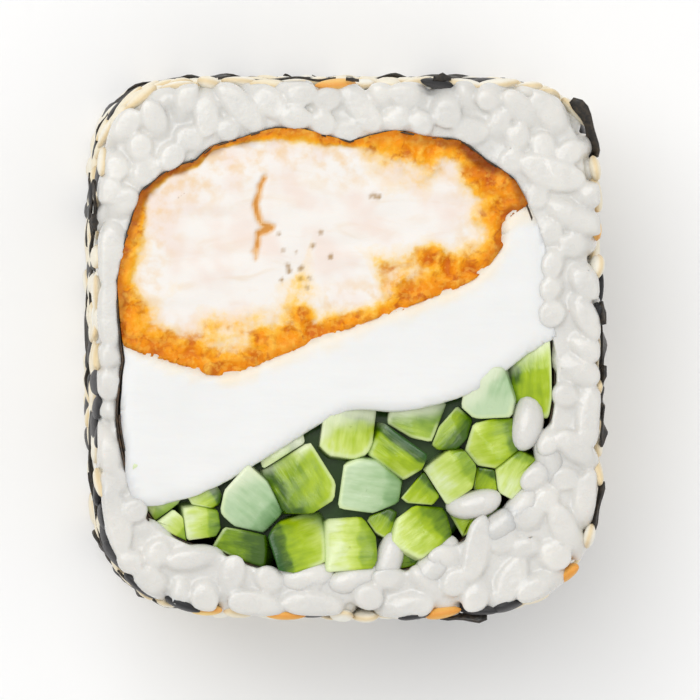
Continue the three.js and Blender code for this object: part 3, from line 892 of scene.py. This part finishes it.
def stick(index, rng):
    """One stick with slanting, bevelled ends, which leans so that a side shows at the upper one.

    Returns its shape with its middle, and how near each corner is to the side, from 0 to 1.
    """
    outline = softened(stick_outline(index)) - HOLLOW_MIDDLE
    angle, radius = polar(outline, 0)
    outline *= np.minimum(1, (by_direction(NORI_LINE, angle) - 0.05) / radius)[:, None]
    outline += HOLLOW_MIDDLE
    middle = outline.mean(axis=0)
    low, high = rng.uniform(0.3, 1.2), HEIGHT - STICKS[index].sunk - 0.1
    slant = rng.uniform(-0.24, 0.24, 2)
    fold = toward(rng.uniform(0, 360)) * rng.uniform(0.2, 0.5)
    lean = rng.uniform(-0.26, 0.26, 2)
    rings = []
    for way, end, steps in ((-1, low, STICK_END), (1, high, STICK_SIDE + STICK_END[::-1])):
        for share, drop in steps:
            apart = (outline - middle) * share
            level = end + way * (apart @ slant - np.clip(apart @ fold - 0.2, 0, None) - drop)
            if way > 0:
                level = soft_limit(level, HEIGHT - 0.12, 0.05)
            leaning = min(drop, LEAN_DEPTH) if way > 0 else LEAN_DEPTH
            rings.append(np.column_stack([middle + apart + lean * leaning, level]))
    shares = [share for share, _ in STICK_END + STICK_SIDE + STICK_END[::-1]]
    return *tube(np.array(rings)), middle, np.repeat(shares, len(outline))


def make_cucumber(finish, shade_finish):
    """The sticks, each with its colour and its own grain, and a dark bed between them, which is painted shade
    among the lower ones.
    """
    rng = np.random.default_rng(13)
    shapes = []
    values = {label: [] for label in ("skin", "green", "shaded", "mint", "along", "across", "brim")}
    for index, this in enumerate(STICKS):
        corners, triangles, middle, brim = stick(index, rng)
        shapes.append((corners, triangles))
        count = len(corners)
        apart = corners[:, :2] - middle
        has_skin = this.skin_side is not None
        # darker runs across each stick towards one side, for painted shade; where the stick has its skin,
        # that side is the skin's, with greener flesh near it.
        darker = apart @ toward(this.skin_side if has_skin else this.turn)
        values["skin"].append(darker - darker.max() if has_skin else np.full(count, -5.0))
        values["green"].append(np.full(count, this.green))
        values["shaded"].append(darker / darker.max())
        values["mint"].append(np.full(count, this.mint))
        values["along"].append(apart @ toward(this.turn))
        values["across"].append(apart @ toward(this.turn + 90) + 10 * index)
        values["brim"].append(brim)
    corners, triangles = joined(shapes)
    values = {label: np.concatenate(parts) for label, parts in values.items()}
    under = distance_to_line(corners, CHEESE_UNDERSIDE) + 0.5 * noise(corners, 0.9)
    values["smear"] = 0.75 * (1 - smoothstep(0.3, 1.9, under))
    values["depth"] = below_cut(corners)
    corners[:, 2] += 0.05 * noise(corners, 1.1)
    sticks = make_piece("cucumber_pieces", corners, triangles, finish, "cucumber", values)
    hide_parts("cucumber_sticks")
    # A dark bed of the bundle's shape, sunk under the cut faces: painted shade between the sticks.
    bed_corners, bed_triangles = node_shape("cucumber_sticks")
    bed_corners[:, 2] = np.clip(bed_corners[:, 2], SHADE_BED_DEPTH, HEIGHT - SHADE_BED_DEPTH)
    bed = melted(bed_corners, bed_triangles, voxel=0.5, rounds=2)
    make_piece("cucumber_shade_bed", *bed, shade_finish, "cucumber")


# Finishes.
class Value:
    """A socket of a finish, with arithmetic that adds Math nodes."""

    def __init__(self, finish, socket):
        self.finish = finish
        self.socket = socket

    def math(self, operation, *values):
        return self.finish.node("Math", {"operation": operation}, dict(enumerate(values)))

    def __add__(self, other):
        return self.math("ADD", self, other)

    def __radd__(self, other):
        return self.math("ADD", other, self)

    def __sub__(self, other):
        return self.math("SUBTRACT", self, other)

    def __rsub__(self, other):
        return self.math("SUBTRACT", other, self)

    def __mul__(self, other):
        return self.math("MULTIPLY", self, other)

    def __rmul__(self, other):
        return self.math("MULTIPLY", other, self)


class Finish:
    """A material: nodes are added by calls, and end in one shader."""

    def __init__(self, name):
        self.material = bpy.data.materials.new(name)
        self.material.use_nodes = True
        self.tree = self.material.node_tree
        self.tree.nodes.clear()
        spot = self.node("TexCoord", output="Object")
        self.spot = self.node("VectorMath", {"operation": "SCALE"}, {0: spot, 3: 1 / MM})

    def feed(self, socket, value):
        if isinstance(value, Value):
            self.tree.links.new(value.socket, socket)
        else:
            socket.default_value = value

    def node(self, kind, settings=None, inputs=None, output=0):
        """A node of a type: its settings first, then the values or links of its sockets."""
        made = self.tree.nodes.new("ShaderNode" + kind)
        for setting, value in (settings or {}).items():
            if setting == "stops":
                self.set_stops(made.color_ramp, value)
            else:
                setattr(made, setting, value)
        for key, value in (inputs or {}).items():
            self.feed(made.inputs[key], value)
        return Value(self, made.outputs[output])

    def set_stops(self, ramp, stops):
        for element, (place, colour) in zip(ramp.elements, (stops[0], stops[-1])):
            element.position = place
            element.color = paint(*colour)
        for place, colour in stops[1:-1]:
            ramp.elements.new(place).color = paint(*colour)

    def attribute(self, label):
        return self.node("Attribute", {"attribute_name": label}, output="Fac")

    def mottle(self, cell, detail=2.0, stretch=(1, 1, 1), swirl=0.0, spot=None):
        """Noise from 0 to 1 with lumps about a cell of millimetres wide."""
        place = self.node("VectorMath", {"operation": "MULTIPLY"}, {0: spot or self.spot, 1: stretch})
        settings = {"Vector": place, "Scale": 1 / cell, "Detail": detail, "Distortion": swirl}
        return self.node("TexNoise", None, settings)

    def step(self, value, low, high):
        """0 below low and 1 above high, smooth between them."""
        settings = {"interpolation_type": "SMOOTHSTEP"}
        return self.node("MapRange", settings, {"Value": value, "From Min": low, "From Max": high})

    def mix(self, mask, first, second):
        """A colour between two, each made by nodes or given as a screen shows it."""
        first, second = (shade if isinstance(shade, Value) else paint(*shade) for shade in (first, second))
        return self.node("Mix", {"data_type": "RGBA"}, {0: mask, 6: first, 7: second}, output=2)

    def layered(self, colour, layers):
        """A colour with others laid over it, each through its mask."""
        for mask, over in layers:
            colour = self.mix(mask, colour, over)
        return colour

    def ramp(self, value, stops):
        return self.node("ValToRGB", {"stops": stops}, {0: value})

    def bump(self, height, depth, strength=1.0):
        """Relief as deep as depth millimetres."""
        return self.node("Bump", None, {"Height": height, "Distance": depth * MM, "Strength": strength})

    def end(self, inputs):
        shader = self.node("BsdfPrincipled", None, inputs)
        output = self.tree.nodes.new("ShaderNodeOutputMaterial")
        self.tree.links.new(shader.socket, output.inputs[0])
        return self.material


def soft_inside(weight, reach):
    """Settings for food that light goes into, up to a reach in millimetres."""
    return {
        "Subsurface Weight": weight, "Subsurface Radius": (1.0, 0.85, 0.7), "Subsurface Scale": reach * MM,
    }


def rice_finish():
    finish = Finish("cooked rice")
    tone = finish.attribute("tone") * 0.5 + finish.mottle(1.2, 3.0) * 0.6
    # Painted shade: the rice turns grey where it lies deeper under the cut faces and the outside, in the gaps
    # between grains.
    painted_crease_shade = finish.step(finish.attribute("depth"), 0.4, 1.1)
    body = finish.mix(tone, (204, 203, 199), (231, 228, 221))
    colour = finish.mix(painted_crease_shade * 0.3, body, (196, 196, 192))
    relief = finish.bump(finish.mottle(0.5, 3.0), 0.09, 0.7)
    return finish.end({
        "Base Color": colour, "Roughness": 0.18 + 0.22 * finish.mottle(1.1), "Normal": relief,
        "Coat Weight": 0.3, "Coat Roughness": 0.15, **soft_inside(0.35, 0.8),
    })


def nori_finish(name, dark, light):
    finish = Finish(name)
    fibre = finish.mottle(0.35, 4.0)
    return finish.end({
        "Base Color": finish.mix(finish.step(fibre, 0.35, 0.75), dark, light),
        "Roughness": 0.28 + 0.35 * fibre, "Normal": finish.bump(fibre, 0.08),
        "Coat Weight": 0.15, "Coat Roughness": 0.3,
    })


def seed_finish(name, pale, deep, edge, roughness):
    """A seed's tone runs from pale to deep, seed by seed, with another colour at its edge."""
    finish = Finish(name)
    tone = finish.attribute("tone") * 0.75 + 0.35 * finish.mottle(0.9) - 0.1
    ribs = finish.mottle(0.3, 2.0)
    near_edge = finish.step(finish.attribute("edge"), 0.25, 1.0)
    return finish.end({
        "Base Color": finish.mix(near_edge * 0.8, finish.mix(tone, pale, deep), edge),
        "Roughness": roughness + 0.2 * ribs, "Normal": finish.bump(ribs, 0.07), "Coat Weight": 0.1,
        "Coat Roughness": 0.3, "Specular IOR Level": 0.4, **soft_inside(0.1, 0.4),
    })


def chicken_finish():
    finish = Finish("fried chicken")
    coarse = finish.mottle(1.3, 3.0)
    fine = finish.mottle(0.4, 3.0)
    depth = finish.attribute("rind") + 1.0 * (coarse - 0.5) + 0.5 * (fine - 0.5)
    browned = finish.ramp(depth * 0.5, [
        (0.0, (232, 138, 14)), (0.1, (238, 140, 0)), (0.28, (244, 152, 0)), (0.44, (247, 178, 40)),
        (0.56, (247, 208, 124)), (0.7, (242, 227, 204)), (0.92, (240, 235, 229)),
    ])
    crusty = 1 - finish.step(depth, 0.7, 1.3)
    meaty = 1 - crusty
    threads = finish.mottle(2.4, 4.0, (0.5, 1.4, 1.0), 1.0)
    tanned = finish.step(threads, 0.5, 0.78) * meaty
    pinkish = finish.step(finish.mottle(3.2, 2.0), 0.42, 0.68) * meaty
    near_crust = (1 - finish.step(finish.attribute("edge"), 1.4, 5.0)) * meaty
    singed = finish.step(finish.mottle(1.1, 3.0), 0.4, 0.72) * near_crust
    burnt = finish.step(finish.mottle(1.1, 4.0, swirl=0.8), 0.5, 0.68) * crusty
    crumb = finish.attribute("crumb")
    # Painted shade: darker orange in the hollows between the crust's crumbs.
    painted_hollow_shade = (1 - finish.step(crumb, -0.4, 0.0)) * crusty
    # Painted highlight: lighter gold on the tips of the crumbs that stand up.
    painted_tip_highlight = finish.step(crumb, 0.02, 0.3) * crusty
    golden = finish.step(finish.mottle(0.45, 2.0), 0.5, 0.62) * crusty
    crack = finish.attribute("crack")
    colour = finish.layered(browned, [
        (tanned * 0.5, (232, 208, 180)),
        (pinkish * 0.65, (237, 217, 205)),
        (singed * 0.6, (234, 192, 128)),
        (burnt * 0.65, (176, 76, 0)),
        (painted_hollow_shade * 0.7, (190, 84, 0)),
        # Golden flecks of the crust's own colour at random, and painted highlight on the crumb tips.
        (golden * 0.3 + painted_tip_highlight * 0.45, (252, 196, 78)),
        (finish.attribute("scorch"), (122, 50, 4)),
        (crack, (230, 172, 84)),
        (finish.step(crack, 0.7, 1.0) * 0.6, (190, 112, 26)),
        (finish.attribute("speck"), (158, 116, 36)),
    ])
    height = (coarse * 0.4 + fine * 0.6) * (crusty + 0.1) + 0.2 * threads * meaty
    return finish.end({
        "Base Color": colour, "Roughness": 0.42 + 0.15 * fine, "Normal": finish.bump(height, 0.25, 0.7),
        "Specular IOR Level": 0.22, **soft_inside(0.08, 0.5),
    })


def cheese_finish():
    finish = Finish("cream cheese")
    plain = finish.mix(finish.mottle(4.0), (231, 231, 229), (237, 237, 235))
    drawn = finish.mottle(0.6, 2.0, (0.3, 1.5, 1.0))
    return finish.end({
        "Base Color": finish.mix(finish.attribute("stain") * 0.6, plain, (244, 222, 184)),
        "Roughness": 0.42, "Normal": finish.bump(drawn, 0.03, 0.5),
        "Coat Weight": 0.08, "Coat Roughness": 0.35, **soft_inside(0.35, 1.0),
    })


def cucumber_finish():
    """Flesh with its own grain in each stick, and a rind where a stick has its skin. Painted shade makes each
    stick darker to one side and down its sides, and a painted highlight lightens its lit edge.
    """
    finish = Finish("cucumber flesh")
    depth = finish.attribute("depth")
    place = {0: finish.attribute("along"), 1: finish.attribute("across"), 2: depth * 0.3}
    grain = finish.node("CombineXYZ", None, place)
    streaks = finish.mottle(1.0, 3.0, (0.5, 2.4, 1.0), spot=grain)
    flesh = finish.mottle(1 / 0.7, spot=grain)
    shaded = finish.attribute("shaded")
    # Painted shade: each stick greener towards its shaded side, with a crisply darker facet there.
    painted_facet_shade = finish.step(shaded + 0.5 * (flesh - 0.5), 0.3, 0.5)
    base = 0.02 + finish.attribute("green") + 0.32 * shaded + 0.24 * painted_facet_shade
    green = base + 0.5 * (flesh - 0.5) + 0.5 * (streaks - 0.5)
    ripe = finish.ramp(green, [
        (0.0, (218, 230, 172)), (0.22, (198, 216, 100)), (0.48, (164, 190, 24)), (0.75, (120, 152, 2)),
        (1.0, (62, 94, 0)),
    ])
    minty = finish.ramp(green, [(0.0, (190, 212, 172)), (0.4, (152, 186, 136)), (1.0, (62, 118, 40))])
    lit_edge = finish.step(finish.attribute("brim"), 0.8, 0.95) * finish.step(0.3 - shaded, 0.2, 0.8)
    colour = finish.layered(finish.mix(finish.attribute("mint"), ripe, minty), [
        (lit_edge * 0.6, (222, 236, 180)),
        (finish.step(finish.attribute("skin") + 0.25 * streaks, -0.6, -0.1), (34, 82, 8)),
        # Painted shade: the sides of the sticks darken the deeper they lie under the cut face.
        (finish.step(depth, 1.0, 2.2) * 0.8, (92, 132, 10)),
        (finish.step(depth, 2.2, 4.6), (18, 40, 6)),
        (finish.attribute("smear"), (230, 236, 206)),
    ])
    return finish.end({
        "Base Color": colour, "Roughness": 0.2 + 0.2 * flesh, "Normal": finish.bump(streaks, 0.12, 0.7),
        "Coat Weight": 0.2, "Coat Roughness": 0.1, "Specular IOR Level": 0.4, **soft_inside(0.15, 0.8),
    })


# Painted shade: the dark green of the bed stands for the shade deep between the sticks.
def shade_bed_finish():
    finish = Finish("cucumber shade bed")
    colour = finish.mix(finish.mottle(1.5), (26, 56, 2), (62, 104, 8))
    return finish.end({"Base Color": colour, "Roughness": 0.4})


# Camera, light and floor.
def make_camera():
    """High over a place to the upper left of the slice, so that a little of its upper left side shows."""
    camera = add_object("camera", bpy.data.cameras.new("camera"))
    apart = Vector(CAMERA_APART)
    camera.data.lens = camera.data.sensor_width * apart.length / SHOWN_WIDTH
    camera.location = (Vector((0, 0, HEIGHT)) + apart) * MM
    backward = apart.normalized()
    right = Vector((0, 1, 0)).cross(backward).normalized()
    camera.rotation_euler = Matrix((right, backward.cross(right), backward)).transposed().to_euler()
    camera.data.clip_start = 0.01
    bpy.context.scene.camera = camera


def make_light():
    """A large soft light to the upper left and a pale surrounding, for soft shadows to the lower right."""
    world = bpy.data.worlds.new("studio")
    world.use_nodes = True
    background = world.node_tree.nodes["Background"]
    background.inputs["Color"].default_value = (1, 1, 1, 1)
    background.inputs["Strength"].default_value = SURROUNDING
    bpy.context.scene.world = world
    lamps = (("key", (-0.14, 0.17, 0.5), 0.34, 1.2), ("fill", (0.25, -0.1, 0.5), 0.4, 0.2))
    for name, place, size, power in lamps:
        lamp = bpy.data.lights.new(name, "AREA")
        lamp.size = size
        lamp.energy = power
        light = add_object(name, lamp)
        light.location = place
        light.rotation_mode = "QUATERNION"
        light.rotation_quaternion = (-light.location).to_track_quat("-Z", "Y")


def make_floor():
    reach = FLOOR_REACH
    corners = [(-reach, -reach, 0), (reach, -reach, 0), (reach, reach, 0), (-reach, reach, 0)]
    floor = mesh_object("floor", corners, [range(4)])
    floor.data.materials.append(Finish("floor").end({"Base Color": (0.97, 0.97, 0.97, 1), "Roughness": 0.8}))


make_camera()
make_light()
make_floor()
bpy.context.scene.view_settings.view_transform = "Standard"

rice = rice_finish()
make_rice(rice)
make_loose_grains(rice)
make_nori(nori_finish("pressed nori", (36, 28, 16), (84, 62, 36)))
under_shreds = make_shreds(nori_finish("shredded nori", (28, 26, 23), (66, 56, 44)))
make_seeds(under_shreds)
make_chicken(chicken_finish())
make_cheese(cheese_finish())
make_cucumber(cucumber_finish(), shade_bed_finish())
